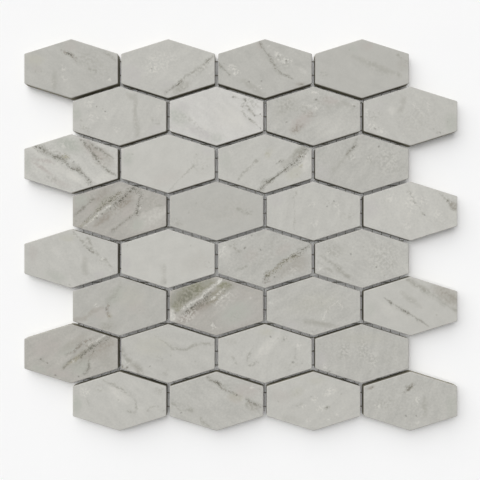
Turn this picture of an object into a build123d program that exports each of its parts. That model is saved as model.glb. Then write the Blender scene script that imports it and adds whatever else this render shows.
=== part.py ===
"""Mosaic sheet of elongated hexagon porcelain tiles on a backing net, in millimetres.

The sheet lies flat, face up. X runs along the rows, Y across them towards row 1, and Z up.
The origin is under the middle of the sheet, at the underside of the net.
"""

from math import atan, cos
import os

from build123d import *

# Tile: a hexagon stretched along X, with two upright sides and four slanted ones
tile_width = 71.6
tile_height = 45.3
side_length = 22.85
tile_thickness = 9.0
corner_flat = 0.5
arris = 0.4

# Sheet: staggered rows, with the same open joint on every side of a tile
joint = 2.5
rows = 8
columns = 4

# Backing net: weft strands along X lie lowest, and warp strands along Y cross over them
net_margin = 2.0
warp_pitch = 7.0
warp_width = 0.6
warp_thickness = 0.4
warp_shift = 0.6
weft_pitch = 10.7
weft_width = 0.9
weft_thickness = 0.4
weft_shift = -4.5
net_bands = 3

# Layout that follows from the sizes above
slope = (tile_height - side_length) / tile_width
pitch_x = tile_width + joint
pitch_y = tile_height - pitch_x / 2 * slope + joint / cos(atan(slope))
stagger = pitch_x / 2
sheet_width = (columns - 1) * pitch_x + stagger + tile_width
sheet_height = (rows - 1) * pitch_y + tile_height
tile_bed = weft_thickness + warp_thickness

# The net stops short of the notches at the sheet's sides and of the points between its end tiles
net_width = sheet_width - 2 * stagger - 2 * net_margin
net_height = sheet_height - (tile_height - side_length) - 2 * net_margin
warp_count = int(net_width / warp_pitch)
weft_count = int(net_height / weft_pitch)


def hexagon_corners():
    """Corners of a tile about its own centre, counter-clockwise from the lower point."""
    half_width = tile_width / 2
    half_height = tile_height / 2
    half_side = side_length / 2
    return [
        (0, -half_height),
        (half_width, -half_side),
        (half_width, half_side),
        (0, half_height),
        (-half_width, half_side),
        (-half_width, -half_side),
    ]


def tile_centre(row, column):
    """Centre of a tile, with row 0 at the top. Every second row is moved half a pitch to the right."""
    left = -sheet_width / 2 + tile_width / 2
    top = sheet_height / 2 - tile_height / 2
    return left + column * pitch_x + (row % 2) * stagger, top - row * pitch_y


def weft_height(number):
    """Place of a weft strand along Y, counted from the top of the sheet."""
    return weft_shift + ((weft_count - 1) / 2 - number) * weft_pitch


def band_edge(number):
    """Y of the line that closes a band of the net, with 0 for its top and net_bands for its bottom."""
    if number == 0:
        return net_height / 2
    if number == net_bands:
        return -net_height / 2
    first_weft_below = weft_count * number // net_bands
    return weft_height(first_weft_below) + weft_pitch / 2


os.makedirs("parts", exist_ok=True)

# Tiles: sawn edges, corners eased by a small flat, and a fine arris around the face
for row in range(rows):
    for column in range(columns):
        centre_x, centre_y = tile_centre(row, column)
        with BuildPart() as tile:
            with BuildSketch(Plane((centre_x, centre_y, tile_bed))) as outline:
                with BuildLine():
                    Polyline(*hexagon_corners(), close=True)
                make_face()
                chamfer(outline.vertices(), corner_flat)
            extrude(amount=tile_thickness)
            chamfer(tile.faces().sort_by(Axis.Z)[-1].edges(), arris)
        tile.part.label = f"tile_r{row + 1}_c{column + 1}"
        export_step(tile.part, f"parts/{tile.part.label}.step")

# Net: each band's weft strands, with the warp strands laid over them and fused where they cross
for band in range(net_bands):
    upper_edge = band_edge(band)
    lower_edge = band_edge(band + 1)
    middle = (upper_edge + lower_edge) / 2
    wefts = range(weft_count * band // net_bands, weft_count * (band + 1) // net_bands)
    with BuildPart() as net:
        with BuildSketch(Plane.XY):
            with Locations(*[(0, weft_height(number)) for number in wefts]):
                Rectangle(net_width, weft_width)
        extrude(amount=weft_thickness)
        with BuildSketch(Plane((warp_shift, middle, weft_thickness))):
            with GridLocations(warp_pitch, 0, warp_count, 1):
                Rectangle(warp_width, upper_edge - lower_edge)
        extrude(amount=warp_thickness)
    net.part.label = f"net_band_{band + 1}"
    export_step(net.part, f"parts/{net.part.label}.step")
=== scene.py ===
from math import pi, radians

import bpy
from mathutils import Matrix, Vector
import numpy as np

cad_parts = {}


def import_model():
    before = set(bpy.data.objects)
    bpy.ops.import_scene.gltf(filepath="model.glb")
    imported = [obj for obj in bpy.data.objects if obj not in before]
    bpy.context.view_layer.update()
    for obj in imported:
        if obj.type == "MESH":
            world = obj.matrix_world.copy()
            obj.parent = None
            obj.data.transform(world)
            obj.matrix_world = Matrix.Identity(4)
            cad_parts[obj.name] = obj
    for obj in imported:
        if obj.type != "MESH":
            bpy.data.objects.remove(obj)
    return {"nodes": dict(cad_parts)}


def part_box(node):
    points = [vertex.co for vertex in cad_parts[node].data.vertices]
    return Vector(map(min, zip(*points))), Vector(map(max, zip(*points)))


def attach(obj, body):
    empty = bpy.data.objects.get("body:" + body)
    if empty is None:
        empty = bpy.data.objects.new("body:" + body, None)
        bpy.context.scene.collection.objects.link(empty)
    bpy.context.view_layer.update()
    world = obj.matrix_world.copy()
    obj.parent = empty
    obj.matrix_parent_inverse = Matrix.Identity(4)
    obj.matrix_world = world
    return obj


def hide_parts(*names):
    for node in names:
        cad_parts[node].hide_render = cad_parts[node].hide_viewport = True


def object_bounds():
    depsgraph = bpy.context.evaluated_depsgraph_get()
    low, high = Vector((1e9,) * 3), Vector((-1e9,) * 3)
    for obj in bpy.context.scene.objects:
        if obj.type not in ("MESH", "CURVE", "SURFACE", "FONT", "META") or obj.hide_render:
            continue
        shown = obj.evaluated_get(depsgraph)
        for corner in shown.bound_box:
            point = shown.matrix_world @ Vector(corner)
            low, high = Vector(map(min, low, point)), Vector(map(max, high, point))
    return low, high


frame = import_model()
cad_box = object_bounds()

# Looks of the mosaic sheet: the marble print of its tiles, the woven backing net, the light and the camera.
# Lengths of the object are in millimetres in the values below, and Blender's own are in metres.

MM = 0.001

# Camera: straight above the sheet, a little off its middle
VIEW_CENTRE = (-0.62, -3.86)
VIEW_WIDTH = 366.6
VIEW_DISTANCE = 590.0
SENSOR_WIDTH = 36.0

# Floor: half its width and its gap under the net, in metres
FLOOR_REACH = 12.0
FLOOR_GAP = 0.00005

# Net: pitches and strand sizes of the woven glass yarn
WARP_PITCH = 7.0
WARP_SHIFT = 0.6
WEFT_PITCH = 10.7
YARN_HALF_WIDTH = 0.10
YARN_HALF_HEIGHT = 0.13
YARN_SIDE_THROW = 0.12
ROVING_HALF_WIDTH = 0.45
ROVING_WAIST = 0.14
WAIST_REACH = 0.9

# Net: rings of a warp yarn in one weft pitch, a roving's rings as shares of a warp pitch, and a ring's least
# gap to a band's edge, as a share of a step or in millimetres
YARN_RINGS = 8
ROVING_RINGS = (-0.26, -0.13, 0.0, 0.13, 0.26, 0.5)
YARN_EDGE = 0.3
ROVING_EDGE = 0.3
YARN_SIDES = 6
ROVING_SIDES = 8

# Tile: depth of the arris round its face, the fine rounding of its edges, and the ribs on its back
ARRIS = 0.4
EDGE_ROUNDING = 0.1
WELD_REACH = 0.002
RIB_HALF_PITCH = 2.4
RIB_HEIGHT = 0.35


def paint(red, green, blue):
    """Scene-linear colour of display values from 0 to 255."""
    share = np.array([red, green, blue]) / 255
    linear = np.where(share <= 0.04045, share / 12.92, ((share + 0.055) / 1.055) ** 2.4)
    return (*linear.tolist(), 1.0)


# Ground tones of the print
TONES = {
    "pale": paint(202.6, 201, 196.2),
    "light": paint(194.3, 193, 186.8),
    "clear": paint(190.3, 189, 182.8),
    "mid": paint(187.3, 186, 179.8),
    "soft": paint(185.3, 184, 177.8),
    "grey": paint(183.3, 182, 175.8),
    "deep": paint(180.5, 179, 172.6),
    "warm": paint(178, 175.5, 168.5),
    "dusky": paint(175, 172, 165),
}

# Inks of the marks
INKS = {
    "ink": paint(92, 90, 79),
    "slate": paint(141, 139, 130),
    "brown": paint(146, 139, 128),
    "umber": paint(165, 160, 151),
    "olive": paint(138, 137, 116),
    "moss": paint(176, 178, 169),
    "rose": paint(181, 175, 169),
    "lilac": paint(188, 185, 182),
    "gold": paint(166, 161, 138),
    "sand": paint(186, 184, 171),
    "ash": paint(160, 158, 149),
    "chalk": paint(208, 206, 199),
}

# Bare body, glass yarn and floor, each from its darkest to its palest colour
BODY = (paint(138, 134, 117), paint(156, 152, 135))
YARN = ((0.17, 0.165, 0.14, 1.0), (0.43, 0.42, 0.36, 1.0))
FLOOR = ((0.965, 0.965, 0.965, 1.0), (0.98, 0.98, 0.98, 1.0))

# Veins by kind: the line's ink, half-width in millimetres, strength, share that is broken off and swelling,
# then the ink, half-width and strength of the haze along it, and the ink, reach and strength of the grains
# beside it
VEINS = {
    "crack": (("ink", 0.90, 0.80, 0.36, 0.3), ("ash", 2.6, 0.40), ("ink", 2.4, 0.50)),
    "seam": (("ink", 0.80, 0.60, 0.48, 1.0), ("ash", 3.0, 0.38), ("ink", 3.2, 0.50)),
    "thread": (("slate", 1.15, 0.70, 0.42, 0.9), ("ash", 2.4, 0.28), ("ink", 2.0, 0.28)),
    "hair": (("ash", 1.15, 0.52, 0.40, 1.1), None, ("slate", 2.0, 0.22)),
    "smear": (("brown", 1.8, 0.48, 0.42, 0.8), None, ("ink", 2.6, 0.28)),
    "haze": (("ash", 3.0, 0.34, 0.30, 0.6), None, None),
    "milk": (("chalk", 1.2, 0.65, 0.42, 0.8), None, ("chalk", 2.4, 0.50)),
    "cream": (("chalk", 1.6, 1.00, 0.38, 0.7), None, ("chalk", 2.6, 0.60)),
    "gilt": (("gold", 1.4, 0.60, 0.42, 0.6), ("umber", 3.0, 0.35), ("olive", 2.8, 0.70)),
    "tan": (("umber", 2.6, 0.55, 0.25, 0.6), None, ("brown", 2.2, 0.25)),
}

# Noises of the print: the width of their lumps in millimetres, and their detail
NOISES = {
    "push": (6.0, 3.0),
    "jitter": (1.3, 2.0),
    "streaks": (5.0, 4.0),
    "lumps": (9.0, 3.0),
    "mottle": (1.6, 3.0),
    "grit": (1.9, 2.0),
    "fine": (0.9, 1.0),
    "swell": (7.0, 1.0),
}

# How far push and jitter move the marks, how long the streaks are drawn, and how much each noise lightens
# and darkens the ground
PUSH = 3.2
JITTER = 1.3
STREAK_DRAW = 3.2
LUMP_SHARE = 0.14
STREAK_SHARE = 0.20
MOTTLE_SHARE = 0.20
FINE_SHARE = 0.06
GROUND_CONTRAST = 2.5
DARKEST_GROUND = 0.8
PALEST_GROUND = 1.2
GRAIN_STRENGTH = {"calm": 0.5, "even": 1.0, "rough": 1.5}

# Where marks fade: the distance or noise at which each begins, and the one at which it is whole
CLOUD_EDGE = (1.35, 0.3)
PATCH_EDGE = (1.25, 0.4)
PALE_CLUMPS = (0.54, 0.40)
DARK_CLUMPS = (0.46, 0.60)
GRAIN_EDGE = (0.52, 0.62)
SWELL_EDGE = (0.36, 0.62)
FLECK_EDGE = (1.1, 0.2)
FLECK_STRENGTH = 0.5

MARBLE = {}


def marble(row, column, tone, lean, grain="even", **marks):
    """Notes the print of one tile, by its row from the top and its column from the left.

    It has a tone, the lean of its streaks in degrees and a strength of grain. Its marks are in millimetres
    from the tile's middle. Veins are lines of points, by kind. Clouds and clumpy patches are an ink, the x
    and y of a middle, a reach along and across, a strength and a lean, if any. Flecks are middles, by ink.
    """
    MARBLE[row, column] = {"tone": tone, "lean": lean, "grain": grain, **marks}


marble(
    1, 1, "grey", -30,
    veins={
        "smear": [[(-8, 14.6), (-1, 10.8), (3.6, 7)]], "crack": [[(-2.5, 11.6), (0.5, 10)]],
        "hair": [[(25.5, 13.2), (34, 6.5)], [(14, -0.2), (19, -2.6)]],
        "haze": [[(-12.7, -4), (-13, -14.5)]],
    },
    clouds=[("sand", -28, 7, 8, 5, 0.5), ("rose", -1, 17, 6, 4, 0.4), ("rose", -26, 0, 4, 3, 0.4)],
    patches=[
        ("ash", 12, 8, 12, 7, 0.35), ("ash", 22, -2, 12, 9, 0.25), ("chalk", -6.5, 0.3, 3, 3, 0.6),
        ("chalk", -5, -7, 3, 4, 0.5), ("chalk", 29.3, -8.3, 2, 1.5, 0.7), ("chalk", -14, -10, 2, 3, 0.6),
    ],
    flecks={"ash": [(-27, -2), (-22, -2), (14, -0.3)]},
)
marble(
    1, 2, "clear", 40,
    veins={
        "crack": [[(32, 7.5), (30, 5.5)], [(9.8, -9.6), (6.3, -13)]],
        "thread": [[(35, 9.5), (30.7, 6.5)], [(6.3, -13), (2.5, -15.5), (-2.3, -18.8)]],
        "hair": [[(30.7, 6.5), (26.4, 0.8), (21.6, -1.6), (16.8, -4), (13, -5.9), (9.2, -10.2)]],
    },
    clouds=[
        ("lilac", -28, -4, 9, 8, 0.6), ("ash", 11, -14, 8, 4, 0.55, 30),
        ("ash", 6.3, -17.4, 4, 2.5, 0.3, 30), ("lilac", 0, -13, 8, 5, 0.4),
    ],
    patches=[
        ("chalk", -7, 4, 17, 9, 0.5, 20), ("chalk", -10.9, -0.2, 4, 3, 0.8), ("chalk", -12, 6, 3, 3, 0.6),
        ("ash", 24, -1, 10, 4, 0.45, 38),
    ],
    flecks={"ink": [(-12.3, -0.2)], "chalk": [(28, 1), (12, -14), (32, -4)]},
)
marble(
    1, 3, "grey", -45,
    veins={
        "thread": [
            [(-4.3, 20.8), (-1.4, 15.6), (1.4, 11.3), (4.8, 6.5), (7.2, 2.2), (10, -2.1)],
            [(10, -2.1), (13.8, -4.5), (17.7, -5.9), (21.5, -7.8)], [(-36.3, 4.1), (-27.2, -4)],
        ],
        "haze": [[(-17.7, -8.8), (-10, -14), (-1.4, -20)]],
    },
    clouds=[
        ("rose", -4.3, 17, 3, 3, 0.5), ("brown", 27.2, -12.1, 4, 2, 0.4, 10),
        ("chalk", 29, -2, 5, 2, 0.4, -45),
    ],
    patches=[
        ("chalk", -23.5, -1, 6, 3.5, 1.0, -45), ("chalk", -12.4, -9.7, 2.5, 2, 1.0),
        ("chalk", -3.3, -14.5, 3, 2.5, 0.6), ("chalk", 3.3, 18, 2.5, 2, 0.6),
        ("chalk", 10, 9.4, 5, 4, 0.8, -50), ("chalk", 16.7, 5.5, 5, 4, 0.8), ("ash", 13, 4, 8, 5, 0.3, -40),
    ],
    flecks={"ink": [(-12.3, -9.8), (-2.9, -9.7), (28, -12), (9.6, 9.8), (16, 6)], "ash": [(-31, 4)]},
)
marble(
    1, 4, "grey", -20, "calm",
    veins={"haze": [[(-5.8, 8.4), (10.4, 1.7), (28.6, -5)]], "hair": [[(27.6, 9.8), (34.3, 5.5)]]},
    clouds=[("rose", 4, 17, 5, 3, 0.55), ("moss", -7, 15, 4, 3, 0.4), ("umber", 31, 3, 5, 5, 0.3)],
    patches=[("ash", -29.7, -4.5, 4, 3, 0.5), ("ash", 12, 0, 14, 5, 0.2, -30)],
    flecks={"ash": [(-10, 14), (28, -5)]},
)
marble(
    2, 1, "clear", 60,
    veins={
        "haze": [[(6.4, 16.4), (12.6, 12.6), (12.1, 5), (13.1, -1.7), (13.6, -14)], [(12, 15), (12.2, 6)]],
    },
    clouds=[
        ("moss", -33, 2, 4, 6, 0.6), ("lilac", 28, -10, 7, 4, 0.5, 20), ("ash", 12.3, 3, 1.4, 12, 0.15),
    ],
    patches=[
        ("chalk", -23, 9.7, 5, 4, 0.7), ("chalk", -20.3, -0.8, 6, 4, 0.7), ("chalk", -9.8, 0.2, 3, 3, 0.6),
        ("chalk", -2.2, -10.3, 3, 2.5, 0.7), ("chalk", 30, 7, 2, 2, 0.6), ("ash", -26, -9, 6, 3, 0.5, -20),
        ("ash", 27.4, -3.6, 5, 2.5, 0.5, -40),
    ],
    flecks={"ink": [(-17.5, 7.4), (-10.8, 3.5)], "ash": [(-29.4, -3.2), (-12.5, 5.5)]},
)
marble(
    2, 2, "pale", -38,
    veins={
        "hair": [
            [(19.2, 3), (25.9, -2.7), (33, -9.8)], [(24.9, 5), (29.7, 0.7), (33.5, 0.5)],
            [(13, 14.5), (21.6, 12.6), (24.5, 6)], [(20, 9), (19.2, 6.9)],
        ],
    },
    clouds=[
        ("moss", -29.5, -0.8, 10, 7, 0.6, -30), ("chalk", 10.6, -0.8, 14, 9, 0.5, -30),
        ("lilac", -26.6, 6.9, 6, 5, 0.5), ("lilac", -12, -13, 13, 4, 0.75, -25),
        ("moss", 0, -17, 6, 4, 0.4),
    ],
    patches=[
        ("ash", 26, 9.7, 8, 6, 0.4, -20), ("ash", -17, -6, 10, 1.8, 0.35, -42),
        ("chalk", -7.5, -9.4, 5, 3, 0.5, -35), ("chalk", -22, -9, 2, 2, 0.5),
    ],
    flecks={
        "ink": [
            (12.5, 14.5), (21.6, 12.6), (22.1, 12), (24.9, 5), (33.5, 1.6), (29.7, 0.7), (33, -9.8),
            (26, -2.7),
        ],
        "brown": [(19.2, 6.9)],
    },
)
marble(
    2, 3, "soft", 35, "rough",
    veins={
        "milk": [[(-8.5, 9.7), (3, 5.9)], [(-3, 18.5), (3, 17.5)]], "haze": [[(12, 7), (24, 10), (30, 6)]],
    },
    clouds=[
        ("rose", 12.5, 11.7, 7, 4, 0.7), ("chalk", 14, -9, 15, 8, 0.3, 20),
        ("rose", -9, -4, 12, 5, 0.8, 38), ("brown", -13, -10, 6, 4, 0.35, 30),
        ("ash", -22, 6, 14, 8, 0.2, 30),
    ],
    patches=[
        ("ash", -20.9, 7.8, 9, 5, 0.5, 30), ("ash", -8.5, 5, 6, 4, 0.5), ("ash", 6, 12, 8, 5, 0.4, 20),
        ("brown", -1.8, 1.1, 5, 3, 0.4), ("brown", -11.4, -7.4, 5, 4, 0.5, 30),
        ("brown", -14.2, -11.3, 4, 3, 0.45), ("rose", -11, -4, 6, 4, 0.5),
    ],
    flecks={"ink": [(2, 12.6), (30.7, 7.4), (-20.9, -4.6)], "ash": [(-28, 12)], "chalk": [(30, 8.6)]},
)
marble(
    2, 4, "clear", -50,
    veins={
        "milk": [[(2.4, 9.7), (6, 5), (10, 1.1)], [(12.9, 9.7), (14.8, 3)]], "haze": [[(-4, 14), (-8, 4)]],
    },
    clouds=[
        ("moss", 31, -5, 5, 8, 0.6), ("lilac", -24, 8, 7, 5, 0.4), ("chalk", -14.3, 4.5, 3.5, 3.5, 0.45),
    ],
    patches=[
        ("chalk", -30, -7.5, 5, 4, 0.9, -30), ("chalk", -22.4, -11.3, 5, 3, 0.8, -20),
        ("chalk", -34, 2, 2, 7, 0.6), ("brown", 22.4, -13.2, 3, 1.5, 0.6), ("ash", -28, 1, 6, 5, 0.4),
        ("ash", 5, -3, 20, 12, 0.2),
    ],
    flecks={
        "ink": [(-27, -10), (22.5, -13)], "ash": [(-24, -9), (18, -10), (28, -4)], "chalk": [(-6, -14)],
    },
)
marble(
    3, 1, "light", -35, "rough",
    veins={
        "crack": [[(-12.5, 5.4), (-8, 4)], [(1.5, -3.6), (7, -4.9)]],
        "seam": [
            [(-26.6, 13.3), (-22.7, 11.4), (-18, 8.5), (-12.2, 5.2), (-5.5, 3.2), (-2.7, -1.1)],
            [(-2.7, -1.1), (2.1, -3.9), (6.9, -4.9), (10.7, -8.7), (15.5, -14.4)],
        ],
        "haze": [[(-20, 9.5), (-5.5, 3.2), (6.9, -4.9)]], "gilt": [[(-5, 5.8), (-2, 5)]],
        "thread": [
            [(7.8, 18), (12.6, 13.3), (18.3, 5.6), (23.1, -1.1), (27.9, -4.9), (34.1, -8.7)],
            [(15.5, 15.2), (25, 8.5), (32.7, 3.7)],
        ],
    },
    clouds=[
        ("moss", -1, 14, 12, 6, 0.85, -20), ("umber", 25, 4.7, 10, 6, 0.6, -40),
        ("rose", 16, 11, 12, 6, 0.5, -40), ("chalk", 0, -8.5, 14, 3.5, 0.7, -28),
        ("chalk", 24, -11, 10, 4, 0.5, 20), ("rose", -21, 2.2, 10, 1.6, 0.7, -10),
        ("rose", -22, -3.5, 10, 1.6, 0.7, -35), ("rose", -8, -15, 9, 3, 0.4, -20),
        ("brown", 15, 13, 7, 3.5, 0.5, -45), ("moss", -33, 0, 3, 7, 0.5),
    ],
    patches=[
        ("ash", -14.6, -11.6, 5, 3, 0.5, -30), ("chalk", -6, 14, 4, 3, 0.6),
        ("brown", 20, 3, 6, 4, 0.5, -45), ("brown", -8, 6, 6, 3, 0.4, -25),
        ("chalk", -17, -1, 12, 5, 0.35, -20), ("ash", -14, 8, 12, 4, 0.35, -25),
    ],
    flecks={"ink": [(-6, 3.2), (-12.5, 5), (2, 1.5), (18, 6.5), (21, 2), (-2, 0)], "gold": [(-3.6, 5.6)]},
)
marble(
    3, 2, "light", 45, "calm",
    veins={"hair": [[(20.2, -1.5), (13.9, -6.8), (10.1, -10.6), (1.1, -19.7)]]},
    clouds=[("moss", -31, 4, 5, 6, 0.5), ("rose", -2, -12, 14, 6, 0.25, 20), ("lilac", 30, 10, 5, 4, 0.5)],
    patches=[("ash", 24, 0, 10, 9, 0.2)],
    flecks={"ash": [(22, 7), (-27, 7), (26, -4), (30, -2)]},
)
marble(
    3, 3, "clear", 36,
    veins={
        "crack": [[(1.4, -14.4), (6.2, -11), (11, -7.7), (15.8, -4.4)]],
        "seam": [[(-3.8, -20.2), (1.4, -14.4)], [(15.8, -4.4), (21.5, -0.1), (26.3, 3.2), (32, 11.4)]],
        "thread": [[(9, 0), (13, 2)]], "hair": [[(-20, -12.5), (-16.7, -6.8), (-11.9, -3), (-6.2, 2.8)]],
    },
    clouds=[
        ("ash", 26, 8.5, 9, 4, 0.85, 42), ("sand", 23, -7, 8, 5, 0.5, 30), ("chalk", 31, -1, 4, 8, 0.6),
        ("ash", 16, 1, 6, 2, 0.4, 38), ("sand", 3, 8, 5, 3, 0.5, 60), ("moss", -30, 2, 5, 7, 0.4),
    ],
    patches=[
        ("chalk", 27.2, 4.7, 3, 2.5, 0.8, 40), ("chalk", 31, 6.6, 3, 2, 0.7),
        ("brown", 28.5, 6, 4, 3, 0.7, 30), ("gold", 27.2, -1.1, 3, 2, 0.5), ("gold", 1.9, 7.1, 2, 2, 0.4),
        ("chalk", -26, 9, 2, 2, 0.5),
    ],
    flecks={"ink": [(11, 1.8)], "ash": [(24, -8)], "brown": [(28, -3)], "chalk": [(26, -1)]},
)
marble(
    3, 4, "grey", 55, "rough",
    veins={
        "thread": [[(-3.4, 19), (-4.9, 15.2), (-6.8, 11.8), (-11.6, 7.5)]],
        "haze": [[(-11.6, 7.5), (-14.4, 3.7), (-17.3, 0), (-22, -5.8)]],
    },
    clouds=[("lilac", -30, -6, 6, 7, 0.4)],
    patches=[
        ("chalk", -7.7, 4.7, 4, 3, 0.5), ("ash", -7.7, 4.7, 4, 3, 0.4), ("chalk", 5.6, 2.8, 3, 4, 0.5),
        ("ash", 5.6, 2.8, 4, 4, 0.4), ("chalk", 20, 2, 10, 14, 0.3), ("ash", 20, 2, 12, 12, 0.25),
        ("ash", 30.5, -4.9, 3, 3, 0.4),
    ],
    flecks={"ink": [(12.8, 13), (-6, 12.6), (-7, 11.6)], "ash": [(-20, 9), (30, -9)]},
)
marble(
    4, 1, "dusky", 42, "rough",
    veins={
        "gilt": [
            [
                (-29.9, -12.1), (-24.2, -7.4), (-19.4, -4.5), (-13.7, 3.2), (-9.8, 6), (-4.1, 9.8),
                (-0.3, 13.7),
            ],
        ],
        "seam": [
            [
                (-29, -12.6), (-24.2, -7.4), (-19.4, -4.5), (-13.7, 3.2), (-9.8, 6), (-4.1, 9.8),
                (-0.3, 13.7),
            ],
            [(-13.7, -1.6), (-7, 2.7), (-2.2, 6), (2.6, 9.8), (6.4, 13.7), (10.2, 17.5), (15, 15)],
            [(7.4, -4.5), (13.1, -1.6), (14.5, 5), (16.4, 12.7)],
        ],
        "milk": [[(-28, -11.7), (-23, -8.5), (-19.4, -5)], [(-19.4, -5), (-13, 0), (-7, 4.1)]],
        "thread": [[(-34.7, -3.5), (-28, 1.7), (-20.3, 8.9)], [(-5.1, -15), (1.6, -9.3), (7.4, -4.5)]],
        "hair": [[(20, 0), (28, 4), (34, 5)]],
    },
    clouds=[
        ("brown", 4.5, 7.9, 8, 5, 0.6, 48), ("brown", -9.8, -4.5, 6, 3.5, 0.5, 42),
        ("brown", -15.6, -8.3, 6, 3, 0.5, 42), ("brown", -14.6, 11.7, 12, 3.5, 0.45, 42),
        ("moss", -29, 8, 6, 6, 0.8), ("chalk", 25, -5, 15, 8, 0.5, 25), ("rose", 6.4, -0.7, 7, 4, 0.5, 45),
        ("moss", 14, -10, 6, 5, 0.7, 30), ("olive", -13, 5, 12, 3.5, 0.35, 45),
    ],
    patches=[
        ("ash", -21.3, 10.8, 4, 3, 0.6, 60), ("ash", 23.6, 7, 7, 5, 0.5), ("chalk", 16, 3.2, 2, 3, 0.8),
        ("ash", -33, -9, 4, 3, 0.6, -10), ("brown", 0, 4, 10, 5, 0.4, 45),
        ("chalk", -13, -0.5, 4, 2, 0.5, 45), ("rose", -22, 2, 8, 5, 0.5, 42),
    ],
    flecks={
        "gold": [(-7, 5), (-18, -4)],
        "ink": [(-7, 2), (-14, 3), (-17, -5), (2, 10), (-6, 9.5), (-13, -2), (8, 15), (13, -2), (10, 17.5)],
    },
)
marble(
    4, 2, "grey", 20, "calm",
    veins={"hair": [[(16, 2), (27, -3)]]},
    clouds=[("umber", 10, 0, 20, 10, 0.12)],
    patches=[
        ("ash", 24, -0.7, 5, 3, 0.5), ("ash", -30.5, -8.3, 6, 3, 0.5, -30), ("ash", 0, 2, 30, 16, 0.12),
    ],
    flecks={"ash": [(-21, -1), (-15, 6)]},
)
marble(
    4, 3, "clear", 80,
    veins={"hair": [[(-13.3, 15.6), (-14.7, 9.8), (-14.2, 0.3), (-14.7, -14)]]},
    clouds=[("lilac", -28, 9, 6, 6, 0.5)],
    patches=[
        ("chalk", -0.9, 5, 4, 3, 0.6), ("chalk", 1.1, -9.7, 5, 3, 0.6), ("chalk", 17.8, 4.1, 2.5, 2.5, 0.7),
        ("chalk", 19.2, 0.3, 2.5, 4, 0.6), ("ash", 26.8, -3.5, 6, 3, 0.4), ("ash", 12, 6, 5, 3, 0.35),
    ],
    flecks={"ink": [(10.1, 3.6), (15.9, 7.7)], "ash": [(-15, 10)]},
)
marble(
    4, 4, "light", -60,
    veins={
        "smear": [[(33, 2.5), (30, 6)]],
        "hair": [[(22.4, 14.1), (28.2, 8.4), (34.4, 1.2)], [(-1.4, 14.6), (2.4, 7), (10, -1.6)]],
    },
    clouds=[("brown", 33, 4.1, 4, 3, 0.7, -40), ("lilac", -30, 2, 7, 8, 0.6)],
    patches=[
        ("chalk", -14.8, 9.8, 5, 4, 0.8), ("chalk", 0, 6, 5, 10, 0.9, -15), ("chalk", 10, 7.9, 4, 4, 0.8),
        ("chalk", 21.5, -2.6, 4, 4, 0.8), ("chalk", -2.4, -11.2, 4, 3, 0.7), ("chalk", 2, 2, 30, 18, 0.2),
        ("ash", 24, -8, 8, 5, 0.15),
    ],
    flecks={"ink": [(11, -2.6), (28, 8)], "ash": [(0, 8)]},
)
marble(
    5, 1, "clear", -45,
    veins={
        "hair": [
            [(2.1, 20), (5.9, 16.2), (7.8, 13.4), (10.7, 9.6), (14, 6.2)],
            [(14, 6.2), (19.3, 3.8), (24, 1), (27.9, -1.4), (30.8, -5.7), (33.6, -10)],
            [(14, 6.2), (15.5, 9.6), (12.6, 15.3)],
        ],
        "thread": [[(12.5, 8), (14, 6.2), (17, 4.9)]], "haze": [[(10.7, -1), (10.7, -11.5)]],
    },
    clouds=[
        ("sand", -3, 16, 7, 3, 0.5), ("rose", -29, 4, 4, 7, 0.4), ("moss", -12, -13, 9, 4, 0.5, -20),
        ("lilac", 22, -12, 6, 3, 0.5, 10),
    ],
    patches=[
        ("ash", 12, 12, 4, 5, 0.4, -50), ("ash", 24, -2.5, 7, 2.5, 0.3, -20),
        ("chalk", 24, -0.5, 2.5, 2, 0.7), ("chalk", -5, 2, 10, 8, 0.2),
    ],
    flecks={"ink": [(14, 6.3)], "chalk": [(30, -9)], "ash": [(-1, -20), (28, -2)]},
)
marble(
    5, 2, "light", 15, "calm",
    veins={"haze": [[(-2.8, -4.8), (-2.8, -18)]]},
    clouds=[("lilac", -32, -4, 4, 7, 0.6), ("umber", 22, -3, 13, 8, 0.2, 20)],
    patches=[("ash", 31, -4.8, 3, 3, 0.5), ("ash", -33, 10, 3, 1.5, 0.6, 10)],
    flecks={"ash": [(-2, -18), (17, 10)]},
)
marble(
    5, 3, "grey", 38, "rough",
    veins={
        "gilt": [[(24.4, 3.3), (18.6, 0), (11.9, -3.8), (7.2, -8.6), (1.4, -12.4)]],
        "seam": [
            [
                (33.9, 10), (29, 7.6), (24.4, 3.3), (18.6, 0), (11.9, -3.8), (7.2, -8.6), (1.4, -12.4),
                (-0.5, -15.8),
            ],
        ],
        "milk": [[(-35, 2), (-33.9, 4.8), (-30, 10.5)], [(-19, 14.6), (-14, 16)]],
        "hair": [[(-21.5, -8.6), (-13.8, -5.7)], [(-26, 12), (-20, 5)]],
    },
    clouds=[
        ("rose", 13.8, 6.7, 8, 4, 0.5, 30), ("rose", -11, 2.9, 7, 5, 0.4, 30),
        ("brown", 18, -7, 15, 5, 0.35, 38), ("umber", 27.2, -4, 8, 7, 0.5, 38),
        ("chalk", -31, 5, 5, 7, 0.4),
    ],
    patches=[
        ("ash", -25.3, 10.5, 4, 3, 0.5), ("ash", -20.5, 5.7, 4, 3, 0.5), ("chalk", 21.5, -8.6, 3, 3, 0.4),
        ("rose", 1.4, -17, 4, 3.5, 1.0), ("ink", 1.4, -18, 3, 2, 0.35), ("ash", 0, 5, 22, 12, 0.25, 35),
    ],
    flecks={
        "ink": [(-3.3, 6.7), (-15.3, 8.1), (7.2, -14.3), (-10.5, 17.7)], "gold": [(12, -7), (20, -2)],
        "ash": [(22, -12), (-28, -10)],
    },
)
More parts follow.
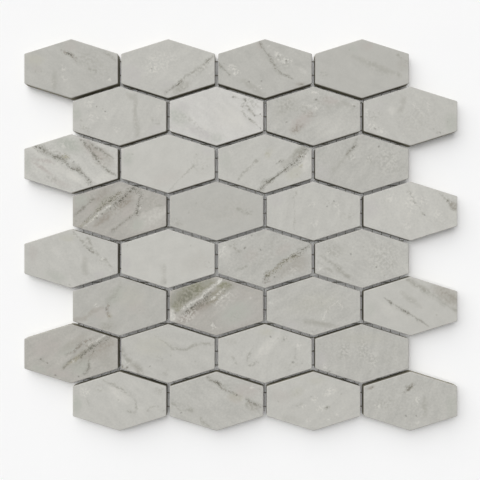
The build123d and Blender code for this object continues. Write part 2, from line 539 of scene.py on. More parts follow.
marble(
    5, 4, "mid", -33, "rough",
    veins={
        "haze": [[(-31.6, 1.9), (-24, -2.9), (-18.2, -7.6), (-10.6, -13.4)]],
        "hair": [[(-31.6, 1.9), (-24, -2.9), (-18.2, -7.6), (-10.6, -13.4)], [(-32.6, -2.9), (-23, -9.6)]],
    },
    clouds=[("ash", -20, 6, 14, 7, 0.12, -20)],
    patches=[
        ("ash", -23, 6.7, 8, 5, 0.45, -20), ("chalk", -32.6, -7.6, 3, 3, 0.7), ("ash", 16, 0, 14, 14, 0.25),
        ("chalk", 16, 0, 14, 14, 0.25), ("chalk", -26, 4, 2, 2, 0.5),
    ],
    flecks={"ink": [(-8.7, 3.3), (10.4, -6.7)], "ash": [(17.1, -12.9), (9, -5), (23, -4), (17, 4), (1, 9)]},
)
marble(
    6, 1, "deep", 50,
    veins={
        "hair": [
            [(1.1, 18.5), (-0.3, 13.8), (-3.2, 9.9), (-7.9, 2.3)],
            [(-11.6, -2), (-9.8, -2.5), (-8.2, -3.8)],
        ],
        "smear": [[(-8.5, 1), (-9.5, -3), (-8, -7.3)]],
        "tan": [[(-12.7, -0.6), (-20.3, -4.4), (-26, -8.7), (-34, -10.5)]],
        "haze": [[(1, 19), (-2, 10), (-9, 4)]],
    },
    clouds=[
        ("ash", -3.5, 8, 9, 3, 0.35, 62), ("gold", -7.9, -7.3, 2.5, 2.5, 0.5), ("rose", -14, -5, 8, 5, 0.6),
        ("sand", 8, 7, 12, 9, 0.35), ("rose", 13, -1, 8, 6, 0.35), ("moss", -3, 8, 5, 9, 0.6, -30),
        ("ash", -9, -15, 8, 4, 0.5),
    ],
    patches=[
        ("ash", -8.9, -14.9, 4, 4, 0.5), ("chalk", -18, 0.4, 2.2, 2, 0.8), ("ash", -4, 8, 5, 6, 0.4, 50),
        ("ash", -22, -6, 7, 3, 0.3, 30),
    ],
    flecks={"ink": [(-9.8, -2.5), (-10.4, -1.2)], "ash": [(15, -3)]},
)
marble(
    6, 2, "dusky", 36, "rough",
    veins={
        "cream": [
            [(-26.2, -2.4), (-20.9, 0.4), (-16.1, 3.4), (-11.4, 6.6), (-6.6, 11.4), (-2.8, 15.2), (3, 20)],
        ],
        "smear": [[(-22, -4), (-13, 0), (-7.5, 3.2), (5, 12)]],
        "seam": [[(-24, -4.5), (-16, 1), (-9, 5.5), (-4, 11)]],
        "milk": [[(-4, 5.5), (6, 13)], [(9.6, 10), (5.8, 8), (2, 4), (-0.9, 0.4)]],
        "hair": [[(6, 12), (10, 13.5)]],
    },
    clouds=[
        ("olive", -22, 10, 18, 7, 0.95, 33), ("slate", -25, 8, 11, 6, 0.4, 33),
        ("olive", -8, 17, 8, 4, 0.75, 25), ("olive", 6, 15.7, 7, 4, 0.85),
        ("brown", -8, 3, 16, 5.5, 0.7, 38), ("ash", -8, 18, 6, 3, 0.6, 25), ("ash", -33, 4, 4, 8, 0.5),
        ("olive", -1, 8, 9, 4, 0.5, 38), ("olive", -30, -1, 5, 4, 0.6, 30),
        ("rose", -21, -8, 10, 4, 0.7, 30), ("rose", 21, 5, 12, 8, 0.2, 30),
        ("lilac", 17, -6, 18, 10, 0.4, 20), ("moss", 15, -5, 14, 8, 0.8, 25),
        ("chalk", -33.8, -6.8, 2.6, 5.5, 1.0),
    ],
    patches=[
        ("brown", -21.9, -8.2, 9, 4, 0.5, 25), ("chalk", -21.9, -8.2, 9, 5, 0.5, 25),
        ("ink", -22, 8, 16, 5, 0.28, 33), ("ink", -16, -1, 12, 3, 0.35, 33),
        ("chalk", 8, 4, 12, 5, 0.3, 35), ("ash", -30, 9, 5, 4, 0.4, 30),
        ("ash", 14.4, -8.2, 7, 4, 0.35, 20), ("chalk", -1.8, -14.9, 4, 3, 0.7),
        ("brown", 2, 6, 8, 4, 0.3, 40), ("rose", -10, -4, 8, 4, 0.5, 35),
    ],
    flecks={"ink": [(-19.5, 1.3), (-31, -5.3), (-9, 8), (6, 12), (11, 16), (-24, 0)], "chalk": [(26, 6)]},
)
marble(
    6, 3, "soft", 30, "rough",
    veins={
        "milk": [[(7.7, -9.6), (9.5, -5), (12, -1.5), (15.4, 1.3), (18.2, 3.7), (22, -1)]],
        "haze": [[(-6.1, -11.3), (3, -13.5), (17.3, -15.4)]], "hair": [[(11.5, -2), (11, -5)]],
    },
    clouds=[
        ("ash", 5, -13, 13, 1.6, 0.4, -12), ("sand", 0, 2, 20, 8, 0.25, 10),
        ("lilac", -17, -14, 7, 3, 0.5, -15),
    ],
    patches=[("chalk", -32.9, 2.3, 2, 2, 0.7), ("ash", 0, 3, 26, 14, 0.15)],
    flecks={"ash": [(-6, -12), (-1, -19), (6, 3)], "chalk": [(-2, -21)]},
)
marble(
    6, 4, "clear", -34, "calm",
    veins={
        "thread": [[(-20, 6.1), (-14.3, 2.3), (-9.1, -1), (-4.3, -3.6), (2.4, -7.7), (13.8, -14.9)]],
        "hair": [[(-2.4, 20.4), (5.3, 15.7), (12.9, 11.4), (16.7, 9), (23.4, 3.7), (33.9, -3.4)]],
        "haze": [
            [(-2.4, 20.4), (5.3, 15.7), (12.9, 11.4), (16.7, 9), (23.4, 3.7), (33.9, -3.4)],
            [(-6.2, 9.9), (8, -0.6)],
        ],
    },
    clouds=[
        ("umber", 28, 8.5, 13, 6, 0.85, -32), ("ash", 31, 6, 8, 4, 0.4, -32), ("moss", -31, -3, 4, 6, 0.4),
        ("chalk", -17.7, -3.4, 8, 4, 0.25, -33),
    ],
    patches=[("ash", 14, 10, 10, 3, 0.3, -33)],
    flecks={"ink": [(-15, 3), (-4, -3.5)], "ash": [(20, -7), (6, -10)]},
)
marble(
    7, 1, "warm", 34, "rough",
    veins={
        "thread": [
            [(-5.5, -10.5), (0.2, -4.8), (4, -2.9), (8.8, 0), (14.5, 4.3), (19.3, 8.1), (23, 11.5)],
            [(23, 11.5), (28, 12.4)], [(-2.7, -0.5), (2.1, 1.9), (6.9, 7.2)],
            [(17.4, 3.3), (14, -3.8), (13.6, -10.5), (10.7, -15.3)],
        ],
        "crack": [[(13, 3.2), (15.8, 5.4)]],
        "seam": [[(7, -2.4), (8.8, -1), (14.5, 3.3), (19.3, 7.1), (27, 12)]],
        "smear": [[(-2.7, -0.5), (2.1, 1.9), (6.9, 7.2), (15.5, 11)]],
        "milk": [[(14, 7), (21, 11), (26, 14)]], "hair": [[(-22.7, -4.8), (-18, -7.2)]],
    },
    clouds=[
        ("brown", 27, 7, 8, 5, 0.5, 20), ("umber", 23, 0, 8, 5, 0.6, 20), ("moss", 7.8, -9, 8, 6, 0.6, 40),
        ("rose", -18.9, 4.8, 12, 8, 0.6, 20), ("gold", 4.5, -3, 13, 1.8, 0.9, 36),
        ("brown", 12, 0, 16, 6, 0.35, 36), ("moss", -2, 4, 10, 4, 0.5, 34), ("ash", 28, -6, 6, 6, 0.4),
        ("rose", -8, -15, 10, 3, 0.5, -15), ("umber", 2, 8, 14, 3, 0.5, 34),
        ("moss", -24, -12, 7, 3, 0.6, -20),
    ],
    patches=[
        ("brown", 14, 8, 9, 4, 0.4, 30), ("ash", 8, -8, 6, 5, 0.35, 40), ("chalk", 1, -6, 2, 1.5, 0.7),
        ("rose", -20, -14, 6, 3, 0.5),
    ],
    flecks={
        "ink": [(-23, -4), (-18, -7), (13, -10.5), (17, 2), (5.9, -17.7), (-11.3, -16.2)],
        "gold": [(4, -3)],
    },
)
marble(
    7, 2, "mid", -20,
    veins={
        "hair": [
            [
                (35, 7.2), (27.3, 7.6), (22.5, 7.2), (18.7, 6.2), (15.9, 4.3), (11, 2.9), (7.3, 3.8),
                (2.5, 3.3),
            ],
            [(2.5, 4.8), (-6.1, 11), (-10.9, 13.9)],
            [(-35.2, 2.9), (-31.9, -3.8), (-26.2, -7.6), (-20.4, -12.4)],
        ],
        "haze": [[(-35.2, 2.9), (-31.9, -3.8), (-26.2, -7.6), (-20.4, -12.4)]],
    },
    clouds=[("sand", -12, 6, 16, 8, 0.35), ("umber", -25, -10, 8, 3, 0.25, -35)],
    patches=[
        ("ash", -7, -3.8, 5, 3, 0.35), ("ash", -2.3, -14.3, 4, 3, 0.4), ("brown", -33, -10, 4, 2, 0.6, -20),
        ("brown", -21.4, -14.3, 3, 1.5, 0.6, -35), ("chalk", -31, -7, 4, 2, 0.5, -40),
    ],
    flecks={"ink": [(-34.8, -9.6), (-31, -10.5), (-14, -9.5)], "ash": [(21, -6), (2, -1)]},
)
marble(
    7, 3, "clear", 60,
    veins={
        "hair": [
            [(-8.1, 5.7), (-11.9, 1), (-13.8, -3.8), (-13.4, -8.6), (-11, -9.6), (-6.2, -6.2)],
            [(-25.3, -1.9), (-22, -7.6)], [(23.4, 3.8), (22.9, -3.8)],
        ],
    },
    clouds=[
        ("chalk", 1.5, 5, 14, 4, 0.6, 42), ("sand", 1.4, 16.2, 6, 3, 0.5),
        ("ash", -27, 9.6, 7, 2.5, 0.25, -10),
    ],
    patches=[
        ("chalk", 26.3, 5.7, 2, 3.5, 0.9), ("ash", 14.8, 11, 4, 2.5, 0.5), ("ash", 20, -9, 8, 4, 0.3, 25),
    ],
    flecks={
        "ink": [(4.3, 12.9), (14, 11), (21.5, -6.7)], "ash": [(10, 12), (28, -7)], "chalk": [(15, 12.5)],
    },
)
marble(
    7, 4, "grey", 80, "rough",
    veins={},
    clouds=[("lilac", -31, -5, 5, 8, 0.5), ("sand", 0, 12, 20, 5, 0.25)],
    patches=[
        ("ash", -13.5, 1, 5, 9, 0.35, -10), ("chalk", -13.5, 1, 5, 9, 0.35), ("ash", 1, 3, 5, 9, 0.3),
        ("chalk", 1, 3, 6, 9, 0.35), ("ash", 8.5, -4.8, 4, 7, 0.3), ("chalk", 8.5, -4.8, 5, 8, 0.35),
        ("chalk", -28, -10, 2, 2, 0.7), ("ash", 22, 0, 9, 12, 0.2),
    ],
    flecks={"ink": [(-24.5, -13.4)], "ash": [(-32, 7), (6, -13)]},
)
marble(
    8, 1, "clear", -40,
    veins={
        "hair": [
            [(-12.7, 16.2), (-6, 12.9), (-0.3, 10), (5.4, 6.2), (10.2, 2.4), (12.6, -1.4), (13.1, -5.3)],
            [(13.1, -5.3), (11.7, -9.6)], [(9.3, -8.6), (5.9, -6.7)], [(-25.1, 2.4), (-23.2, -3.3)],
            [(20.7, -7.2), (23.6, -4.3), (30.3, -4.3)],
        ],
    },
    clouds=[("moss", -33, -2, 4, 8, 0.6), ("chalk", -0.3, 5.3, 11, 5, 0.6, -35)],
    patches=[
        ("chalk", -26, 7.2, 5, 4, 0.8), ("ash", -15.5, 10, 4, 3, 0.4), ("ash", 30.3, 8.1, 4, 3, 0.5, -20),
        ("ash", 4, 8, 9, 3, 0.3, -35),
    ],
    flecks={"ash": [(-5, 13), (-1, 1), (34, -7)], "chalk": [(0, 0)]},
)
marble(
    8, 2, "soft", -35, "rough",
    veins={
        "thread": [
            [(-7.5, 18.1), (-2.8, 15.8), (1.5, 12.9), (4.4, 10.5), (9.6, 7.2), (15.4, 5.3)],
            [(23, 1.8), (28.7, -1.9), (34, -4.3)],
        ],
        "crack": [[(0, 14), (2, 12.6)]], "smear": [[(4.4, 10.5), (9.6, 7.2)]],
        "hair": [
            [(15.4, 5.3), (19.2, 3.8)], [(22, -2.4), (28.7, -5.3), (33.5, -10)],
            [(-34.3, -1.4), (-26.2, -8.1)], [(-22.8, -5.3), (-18, -7.2)],
            [(-12.8, -11.9), (-10.4, -15.8), (-4.7, -19.1)],
        ],
    },
    clouds=[
        ("gold", 14.4, 3.3, 6, 4, 0.4), ("rose", 22, 8, 11, 6, 0.6), ("rose", 14, 1, 6, 3, 0.4, -30),
        ("umber", 28, -4, 6, 4, 0.3, -20),
    ],
    patches=[
        ("ash", 7.7, 11, 6, 2.5, 0.5, -30), ("ash", -24, -5, 9, 4, 0.3, -20),
        ("brown", 27, -4, 6, 3, 0.3, -30), ("chalk", 27, 11, 2, 1.5, 0.7),
    ],
    flecks={"ink": [(15.4, 5.3), (15, 4.6), (-27, -8.5)], "ash": [(33, 9)]},
)
marble(
    8, 3, "clear", 35,
    veins={"milk": [[(9.6, 5.3), (15.4, 9)]], "hair": [[(8.7, -6.2), (11.5, -4.3)]]},
    clouds=[
        ("sand", -13, 7, 6, 4, 0.35, 30), ("sand", 2, 16, 7, 3, 0.35), ("rose", -26, 4, 9, 5, 0.35),
        ("ash", -18, -13, 9, 3, 0.2, -15),
    ],
    patches=[
        ("chalk", 12, 7, 6, 3, 1.0, 30), ("chalk", 4.9, -5.3, 4, 3, 1.0, 30),
        ("chalk", 1, 1.9, 3.5, 3, 0.9, 30), ("chalk", -6.6, -4.3, 3, 2, 0.9),
        ("chalk", 17.8, -10.5, 2, 2, 0.8), ("chalk", 11.6, -13.8, 2, 2, 0.8),
        ("chalk", -3.7, -14.8, 3, 2, 0.6), ("ash", -11.4, -3.3, 5, 2, 0.4, 30),
        ("olive", -13.3, 5.3, 3, 2, 0.2, 30),
    ],
    flecks={"ink": [(10, -5)], "chalk": [(-6, 9)], "ash": [(21, 6), (-2, 4), (-27, 0)]},
)
marble(
    8, 4, "soft", 70, "rough",
    veins={
        "crack": [[(-2.2, 8.8), (-0.5, 10.5), (1.2, 11.6)]],
        "smear": [[(2.4, 12.4), (-0.5, 10.5), (-4.3, 6.7)]], "hair": [[(-3.5, 11.5), (-0.5, 10.5), (3, 9)]],
        "haze": [[(11, 2.4), (11, -9)]],
    },
    clouds=[("brown", -30.5, 10.7, 4, 1.8, 0.5, 20), ("moss", 31, -3, 4, 8, 0.4)],
    patches=[
        ("ash", -18.6, -1.4, 6, 5, 0.4), ("chalk", -25.8, -3.8, 3, 2.5, 0.8), ("chalk", 5.3, 1, 2, 4, 0.8),
        ("chalk", 5, -16, 2, 2, 0.7), ("ash", 11, -3, 2.5, 8, 0.3), ("ash", -8, -2, 18, 12, 0.15),
    ],
    flecks={"ink": [(-0.5, 10.5), (-4, -11), (4.3, -11), (-29, 11)], "ash": [(-26, -5)]},
)


class Wire:
    """An output socket in a material's node tree.

    A sum, difference, product or quotient of wires and numbers adds the Math nodes for it.
    """

    def __init__(self, tree, socket=None):
        self.tree = tree
        self.socket = socket

    def node(self, kind, settings, inputs, output=0):
        """Output of a new node: its settings are set first, then its inputs, to values or wires."""
        made = self.tree.nodes.new(kind)
        for name, value in settings.items():
            if name == "stops":
                ramp = made.color_ramp
                while len(ramp.elements) < len(value):
                    ramp.elements.new(1.0)
                for element, (position, colour) in zip(ramp.elements, value):
                    element.position = position
                    element.color = colour
            else:
                setattr(made, name, value)
        for key, value in inputs.items():
            if isinstance(value, Wire):
                self.tree.links.new(value.socket, made.inputs[key])
            else:
                made.inputs[key].default_value = value
        return Wire(self.tree, made.outputs[output])

    def math(self, operation, first, second):
        return self.node("ShaderNodeMath", {"operation": operation}, {0: first, 1: second})

    def __add__(self, other):
        return self.math("ADD", self, other)

    def __radd__(self, other):
        return self.math("ADD", other, self)

    def __sub__(self, other):
        return self.math("SUBTRACT", self, other)

    def __rsub__(self, other):
        return self.math("SUBTRACT", other, self)

    def __mul__(self, other):
        return self.math("MULTIPLY", self, other)

    def __rmul__(self, other):
        return self.math("MULTIPLY", other, self)

    def __truediv__(self, other):
        return self.math("DIVIDE", self, other)

    def least(self, other):
        """The lesser of this wire and another, which may be None."""
        return self if other is None else other.math("MINIMUM", other, self)

    def fade(self, start, end):
        """0 where this wire is at start, 1 where it is at end, and smooth between."""
        values = {"Value": self, "From Min": start, "From Max": end}
        return self.node("ShaderNodeMapRange", {"interpolation_type": "SMOOTHSTEP"}, values)

    def vector(self, operation, *others):
        """A vector operation on this wire and the others."""
        output = 1 if operation in ("DOT_PRODUCT", "LENGTH", "DISTANCE") else 0
        values = dict(enumerate((self, *others)))
        return self.node("ShaderNodeVectorMath", {"operation": operation}, values, output)

    def axis(self, name):
        """One coordinate of this wire's place."""
        return self.node("ShaderNodeSeparateXYZ", {}, {"Vector": self}, name)

    def noise(self, size, detail=2.0, output=0):
        """Soft noise whose lumps are about size millimetres wide, where this wire is a place."""
        values = {"Vector": self, "Scale": 1 / size, "Detail": detail}
        return self.node("ShaderNodeTexNoise", {}, values, output)

    def tinted(self, colour, mask):
        """This wire's colour, turned to another one where the mask is 1."""
        return mask.between(self, colour)

    def between(self, darkest, palest):
        """A colour that goes from the darkest, where this wire is 0, to the palest, where it is 1."""
        return self.node("ShaderNodeMix", {"data_type": "RGBA"}, {0: self, 6: darkest, 7: palest}, 2)

    def ramp(self, darkest, palest):
        """A colour that goes from the darkest, where this wire is 0.3, to the palest, where it is 0.7."""
        return self.node("ShaderNodeValToRGB", {"stops": [(0.3, darkest), (0.7, palest)]}, {"Fac": self})

    def bump(self):
        """Normal of a surface that this wire raises, in millimetres."""
        return self.node("ShaderNodeBump", {}, {"Height": self, "Strength": 1.0, "Distance": MM})


def placed(name, data):
    """A new object in the scene."""
    thing = bpy.data.objects.new(name, data)
    bpy.context.scene.collection.objects.link(thing)
    return thing


def surface(name, points, faces):
    """A new object in the scene, of these points and faces."""
    mesh = bpy.data.meshes.new(name)
    mesh.from_pydata(points, [], faces)
    return placed(name, mesh)


def new_finish(name):
    """A material, its plain shader, and a wire for its object coordinates in millimetres."""
    material = bpy.data.materials.new(name)
    material.use_nodes = True
    tree = material.node_tree
    tree.nodes.clear()
    output = tree.nodes.new("ShaderNodeOutputMaterial")
    shader = tree.nodes.new("ShaderNodeBsdfPrincipled")
    tree.links.new(shader.outputs["BSDF"], output.inputs["Surface"])
    place = Wire(tree).node("ShaderNodeTexCoord", {}, {}, "Object")
    millimetres = place.node("ShaderNodeMapping", {}, {"Vector": place, "Scale": (1 / MM, 1 / MM, 1 / MM)})
    return material, shader, millimetres


def connect(wire, shader, name):
    """Feeds a shader's socket from a wire."""
    wire.tree.links.new(wire.socket, shader.inputs[name])


def vein_distance(place, points):
    """Distance from a line through the points: the least of the distances from its straight runs.

    On a run from a to b, the nearest point is a + t (b - a), with t the share of the run at which the
    place's own perpendicular falls, kept between 0 and 1.
    """
    nearest = None
    for start, end in zip(points, points[1:]):
        run = (end[0] - start[0], end[1] - start[1], 0.0)
        squared = run[0] ** 2 + run[1] ** 2
        offset = place.vector("SUBTRACT", (*start, 0.0))
        share = offset.vector("DOT_PRODUCT", (run[0] / squared, run[1] / squared, 0.0))
        held = share.node("ShaderNodeClamp", {}, {"Value": share})
        foot = held.node("ShaderNodeVectorMath", {"operation": "SCALE"}, {0: run, "Scale": held})
        nearest = offset.vector("DISTANCE", foot).least(nearest)
    return nearest


def inside(place, x, y, along, across, lean=0):
    """How far out a place is in an ellipse: 0 in its middle, 1 at its reach along and across the lean."""
    inputs = {
        "Vector": place,
        "Location": (x, y, 0.0),
        "Rotation": (0.0, 0.0, radians(lean)),
        "Scale": (along, across, 1.0),
    }
    return place.node("ShaderNodeMapping", {"vector_type": "TEXTURE"}, inputs).vector("LENGTH")


def marble_colour(ground, warped, grit, fine, streaks, swell, tile):
    """The tile's print: its ground, then clouds, patches, veins and flecks laid over one another.

    A cloud is strongest where grit and streaks are high. The clumps of a pale patch lie where the grit is
    low, and those of a dark one where it is high. A vein's line is broken off where the grit is low.
    """
    grains = fine.fade(*GRAIN_EDGE)
    blotches = (grit.fade(0.35, 0.65) * 0.6 + 0.6) * (streaks * 1.4 + 0.3)
    pale_clumps = grit.fade(*PALE_CLUMPS)
    dark_clumps = grit.fade(*DARK_CLUMPS)
    colour = ground
    for ink, x, y, along, across, strength, *lean in tile["clouds"]:
        mask = inside(warped, x, y, along, across, *lean).fade(*CLOUD_EDGE) * blotches
        colour = colour.tinted(INKS[ink], mask * strength)
    for ink, x, y, along, across, strength, *lean in tile["patches"]:
        clumps = pale_clumps if ink == "chalk" else dark_clumps
        mask = inside(warped, x, y, along, across, *lean).fade(*PATCH_EDGE) * clumps
        colour = colour.tinted(INKS[ink], mask * strength)
    for kind, lines in tile["veins"].items():
        (ink, half_width, strength, broken, swelling), haze, beside = VEINS[kind]
        distance = None
        for points in lines:
            distance = vein_distance(warped, points).least(distance)
        girth = (swell - 0.5) * swelling + 1.0
        distance = distance / girth
        if haze:
            haze_ink, haze_width, haze_strength = haze
            colour = colour.tinted(INKS[haze_ink], distance.fade(haze_width, 0.0) * haze_strength)
        if beside:
            grain_ink, reach, grain_strength = beside
            mask = distance.fade(reach, reach * 0.3) * grains
            colour = colour.tinted(INKS[grain_ink], mask * grain_strength)
        whole = grit.fade(broken - 0.03, broken + 0.15)
        core = distance.fade(half_width, half_width * 0.1) * whole * girth
        colour = colour.tinted(INKS[ink], core * strength)
    for ink, middles in tile["flecks"].items():
        distance = None
        for middle in middles:
            distance = warped.vector("DISTANCE", (*middle, 0.0)).least(distance)
        colour = colour.tinted(INKS[ink], distance.fade(*FLECK_EDGE) * FLECK_STRENGTH)
    return colour


def tile_finish(row, column, tile):
    """Satin porcelain: marble print on face and arris, the arris paler (partly a ground edge, partly a
    painted highlight), bare body on sides and back.
    """
    name = f"tile_r{row}_c{column}"
    lowest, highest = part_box(name)
    middle = [(low + high) / 2 / MM for low, high in zip(lowest, highest)]
    top = highest[2] / MM
    bottom = lowest[2] / MM
    material, shader, sheet = new_finish(f"marble_{row}_{column}")

    # Places on the tile, and the same places pushed about so that no vein runs straight
    place = sheet.vector("SUBTRACT", (middle[0], middle[1], top))
    push = sheet.noise(*NOISES["push"], 1).vector("SUBTRACT", (0.5, 0.5, 0.5))
    jitter = sheet.noise(*NOISES["jitter"], 1).vector("SUBTRACT", (0.5, 0.5, 0.5))
    warped = push.vector("MULTIPLY_ADD", (PUSH, PUSH, 0.0), place)
    warped = jitter.vector("MULTIPLY_ADD", (JITTER, JITTER, 0.0), warped)
    flat = warped.vector("MULTIPLY", (1.0, 1.0, 0.0))
    height = place.axis("Z")

    # Streaks drawn out along the lean, lumps of the ground, and grit
    lean = (0.0, 0.0, radians(tile["lean"]))
    inputs = {"Vector": sheet, "Rotation": lean, "Scale": (STREAK_DRAW, 1.0, 1.0)}
    drawn = sheet.node("ShaderNodeMapping", {"vector_type": "TEXTURE"}, inputs)
    streaks = drawn.noise(*NOISES["streaks"])
    lumps = sheet.noise(*NOISES["lumps"])
    mottle = sheet.noise(*NOISES["mottle"])
    grit = sheet.noise(*NOISES["grit"])
    fine = sheet.noise(*NOISES["fine"])
    swell = sheet.noise(*NOISES["swell"]).fade(*SWELL_EDGE)
    grain = (streaks - 0.5) * STREAK_SHARE + (mottle - 0.5) * MOTTLE_SHARE + (fine - 0.5) * FINE_SHARE
    light = grain * GRAIN_STRENGTH[tile["grain"]] + (lumps - 0.5) * LUMP_SHARE
    tone = TONES[tile["tone"]]
    shadow = tuple(part * DARKEST_GROUND for part in tone[:3]) + (1.0,)
    shine = tuple(min(part * PALEST_GROUND, 1.0) for part in tone[:3]) + (1.0,)
    ground = (light * GROUND_CONTRAST + 0.5).between(shadow, shine)
    print_colour = marble_colour(ground, flat, grit, fine, streaks, swell, tile)

    # The arris is a paler ring, partly ground back and partly a painted highlight along every edge; the
    # sides and the back are bare body
    ring = height.fade(-0.04, -0.12)
    face = print_colour.tinted(INKS["lilac"], ring * 0.35)
    body = (mottle * 0.5 + lumps * 0.5).ramp(*BODY)
    below = height.fade(-ARRIS - 0.08, -ARRIS - 0.12)
    connect(face.tinted(body, below), shader, "Base Color")

    # Pressed ribs on the back, and a fine tooth everywhere
    across = place.axis("Y")
    rib = across.math("PINGPONG", across, RIB_HALF_PITCH).fade(0.6, 1.2)
    back = height.fade(bottom - top + 0.3, bottom - top + 0.1)
    tooth = (mottle * 0.02 + grit * 0.015) * (below * 2.0 + 1.0)
    connect((tooth + rib * back * RIB_HEIGHT).bump(), shader, "Normal")
    connect(mottle * 0.12 + 0.56 + below * 0.2, shader, "Roughness")
    shader.inputs["Specular IOR Level"].default_value = 0.3
    return material


def yarn_finish():
    """Coated glass yarn: dark grey, with its filaments as fine lines along it."""
    material, shader, sheet = new_finish("coated_glass_yarn")
    along = sheet.node("ShaderNodeUVMap", {"uv_map": "yarn"}, {})
    lines = along.node("ShaderNodeMapping", {}, {"Vector": along, "Scale": (9.0, 0.35, 1.0)})
    filament = lines.noise(1.0, 3.0)
    patch = sheet.noise(4.0, 2.0)
    connect((filament * 0.7 + patch * 0.3).ramp(*YARN), shader, "Base Color")
    connect(filament * 0.3 + 0.35, shader, "Roughness")
    connect((filament * 0.08).bump(), shader, "Normal")
    return material


def strands(centre, axis, half_width, sides):
    """Points, faces and yarn coordinates of many closed tubes.

    Tube n's point on ring k at angle a is centre[n, k], moved along the axis by cos(a) times its half-width
    and up by sin(a) times the half-height. Four-sided faces join the rings, and one face closes each end.
    """
    tubes, rings = centre.shape[:2]
    angle = np.arange(sides) * 2 * pi / sides
    points = np.repeat(centre[:, :, None], sides, 2)
    points[..., axis] += np.cos(angle) * np.broadcast_to(half_width, (tubes, rings))[:, :, None]
    points[..., 2] += np.sin(angle) * YARN_HALF_HEIGHT
    index = np.arange(tubes * rings * sides).reshape(tubes, rings, sides)
    here = index[:, :-1]
    after = index[:, 1:]
    quads = np.stack([here, np.roll(here, -1, 2), np.roll(after, -1, 2), after], -1).reshape(-1, 4)
    caps = np.concatenate([index[:, 0, ::-1], index[:, -1]])
    steps = np.linalg.norm(np.diff(centre, axis=1), axis=2)
    length = np.concatenate([np.zeros((tubes, 1)), np.cumsum(steps, 1)], 1)
    around = np.broadcast_to(np.arange(sides) / sides, (tubes, rings, sides))
    along = np.broadcast_to(length[:, :, None], (tubes, rings, sides))
    coordinates = np.stack([around, along], -1).reshape(-1, 2)
    return points.reshape(-1, 3), quads, caps, coordinates


def net_band(number):
    """One band of leno weave, in millimetres: flat wefts, each held between the two yarns of every warp.

    From each weft to the next the two yarns of a warp turn half round each other: at a place y they stand
    at x + s t sin(q) and z + s h cos(q), with s = 1 or -1 and q = pi (y - y_weft) / pitch. A weft keeps its
    height, and is pinched at each warp by a bell-shaped waist.
    """
    lowest, highest = (np.array(corner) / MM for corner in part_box(f"net_band_{number}"))
    middle_band_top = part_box("net_band_2")[1][1] / MM
    warps = int((highest[0] - lowest[0]) / WARP_PITCH)
    warp_x = (np.arange(warps) - (warps - 1) / 2) * WARP_PITCH + (lowest[0] + highest[0]) / 2 + WARP_SHIFT
    reference = middle_band_top - WEFT_PITCH / 2
    first = np.ceil((lowest[1] + ROVING_HALF_WIDTH - reference) / WEFT_PITCH)
    last = np.floor((highest[1] - ROVING_HALF_WIDTH - reference) / WEFT_PITCH)
    weft_y = reference + np.arange(first, last + 1) * WEFT_PITCH
    level = (lowest[2] + highest[2]) / 2
    throw = (highest[2] - lowest[2]) / 2 - YARN_HALF_HEIGHT

    # Warps: two yarns each, with even rings and one more at each edge of the band
    step = WEFT_PITCH / YARN_RINGS
    start = np.ceil(lowest[1] / step + YARN_EDGE)
    stop = np.floor(highest[1] / step - YARN_EDGE)
    y = np.concatenate([[lowest[1]], np.arange(start, stop + 1) * step, [highest[1]]])
    turn = pi * (y - reference) / WEFT_PITCH
    sign = np.array([1.0, -1.0])[None, :, None]
    x = warp_x[:, None, None] + sign * YARN_SIDE_THROW * np.sin(turn)
    z = level + sign * throw * np.cos(turn) + 0 * x
    centre = np.stack([x, np.broadcast_to(y, x.shape), z], -1).reshape(-1, len(y), 3)
    warp_parts = strands(centre, 0, -YARN_HALF_WIDTH, YARN_SIDES)

    # Wefts: flat rovings with rings at and beside every warp
    inner = (warp_x[:, None] + np.array(ROVING_RINGS) * WARP_PITCH).ravel()
    inner = inner[(inner > lowest[0] + ROVING_EDGE) & (inner < highest[0] - ROVING_EDGE)]
    x = np.concatenate([[lowest[0]], inner, [highest[0]]])
    gap = np.abs(x[:, None] - warp_x).min(1)
    waist = ROVING_HALF_WIDTH - ROVING_WAIST * np.exp(-((gap / WAIST_REACH) ** 2))
    rows_x = np.broadcast_to(x, (len(weft_y), len(x)))
    rows_y = np.broadcast_to(weft_y[:, None], rows_x.shape)
    centre = np.stack([rows_x, rows_y, np.full(rows_x.shape, level)], -1)
    weft_parts = strands(centre, 1, waist, ROVING_SIDES)

    count = len(warp_parts[0])
    points = np.concatenate([warp_parts[0], weft_parts[0]]) * MM
    faces = warp_parts[1].tolist() + warp_parts[2].tolist()
    faces += (weft_parts[1] + count).tolist() + (weft_parts[2] + count).tolist()
    net = surface(f"woven_net_{number}", points.tolist(), faces)
    mesh = net.data
    coordinates = np.concatenate([warp_parts[3], weft_parts[3]])
    corner = np.empty(len(mesh.loops), dtype=np.int32)
    mesh.loops.foreach_get("vertex_index", corner)
    layer = mesh.uv_layers.new(name="yarn")
    layer.data.foreach_set("uv", coordinates[corner].astype(np.float32).ravel())
    mesh.polygons.foreach_set("use_smooth", np.ones(len(mesh.polygons), dtype=bool))
    return net


def round_edges(tile):
    """Eases the sharp edges of a tile by a fine rounding."""
    weld = tile.modifiers.new("weld", "WELD")
    weld.merge_threshold = WELD_REACH * MM
    rounding = tile.modifiers.new("rounding", "BEVEL")
    rounding.width = EDGE_ROUNDING * MM
    rounding.segments = 2
    rounding.limit_method = "ANGLE"
    rounding.angle_limit = radians(20)


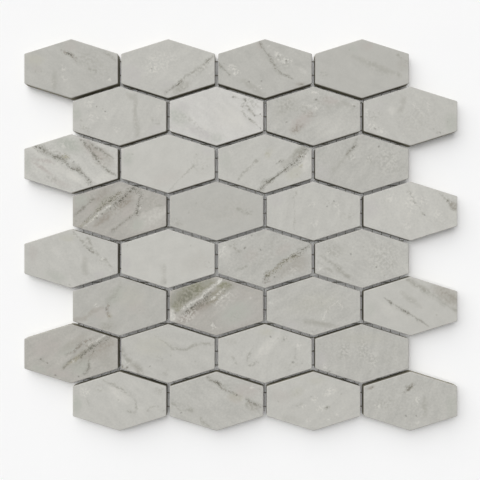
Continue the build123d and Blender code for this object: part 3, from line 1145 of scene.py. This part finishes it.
def floor():
    """A plain pale floor just under the net."""
    level = cad_box[0][2] - FLOOR_GAP
    corners = [(x * FLOOR_REACH, y * FLOOR_REACH, level) for x, y in ((-1, -1), (1, -1), (1, 1), (-1, 1))]
    plane = surface("floor", corners, [(0, 1, 2, 3)])
    material, shader, place = new_finish("floor_paint")
    connect(place.noise(40.0, 2.0).between(*FLOOR), shader, "Base Color")
    shader.inputs["Roughness"].default_value = 0.9
    shader.inputs["Specular IOR Level"].default_value = 0.1
    plane.data.materials.append(material)


def softbox(name, towards, share, spread):
    """A wide, distant lamp. Alone it shows a flat white surface at this share of white."""
    direction = Vector(towards).normalized()
    data = bpy.data.lights.new(name, "SUN")
    data.energy = pi * share / direction.z
    data.angle = radians(spread)
    lamp = placed(name, data)
    lamp.rotation_euler = direction.to_track_quat("Z", "Y").to_euler()


def world(light, seen):
    """An even white sky: its strength as a light, and the white that the camera sees."""
    sky = bpy.data.worlds.new("sky")
    bpy.context.scene.world = sky
    sky.use_nodes = True
    tree = sky.node_tree
    tree.nodes.clear()
    output = tree.nodes.new("ShaderNodeOutputWorld")
    background = tree.nodes.new("ShaderNodeBackground")
    background.inputs["Color"].default_value = (1.0, 1.0, 1.0, 1.0)
    tree.links.new(background.outputs[0], output.inputs["Surface"])
    direct = Wire(tree).node("ShaderNodeLightPath", {}, {}, "Is Camera Ray")
    strength = direct * (seen - light) + light
    tree.links.new(strength.socket, background.inputs["Strength"])


def camera():
    """Looks straight down from above the sheet."""
    face = cad_box[1][2]
    data = bpy.data.cameras.new("camera")
    data.sensor_width = SENSOR_WIDTH
    data.lens = SENSOR_WIDTH * VIEW_DISTANCE / VIEW_WIDTH
    eye = placed("camera", data)
    eye.location = (VIEW_CENTRE[0] * MM, VIEW_CENTRE[1] * MM, face + VIEW_DISTANCE * MM)
    bpy.context.scene.camera = eye


camera()
floor()
world(light=0.208, seen=0.94)
softbox("key", towards=(-0.58, 0.79, 0.8), share=0.435, spread=80)
softbox("top", towards=(-0.1, 0.15, 1.0), share=0.325, spread=50)

for (row, column), tile in MARBLE.items():
    node = frame["nodes"][f"tile_r{row}_c{column}"]
    node.data.materials.clear()
    node.data.materials.append(tile_finish(row, column, tile))
    round_edges(node)

yarn = yarn_finish()
for number in (1, 2, 3):
    net = net_band(number)
    net.data.materials.append(yarn)
    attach(net, "root")
    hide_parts(f"net_band_{number}")

scene = bpy.context.scene
scene.view_settings.view_transform = "Standard"
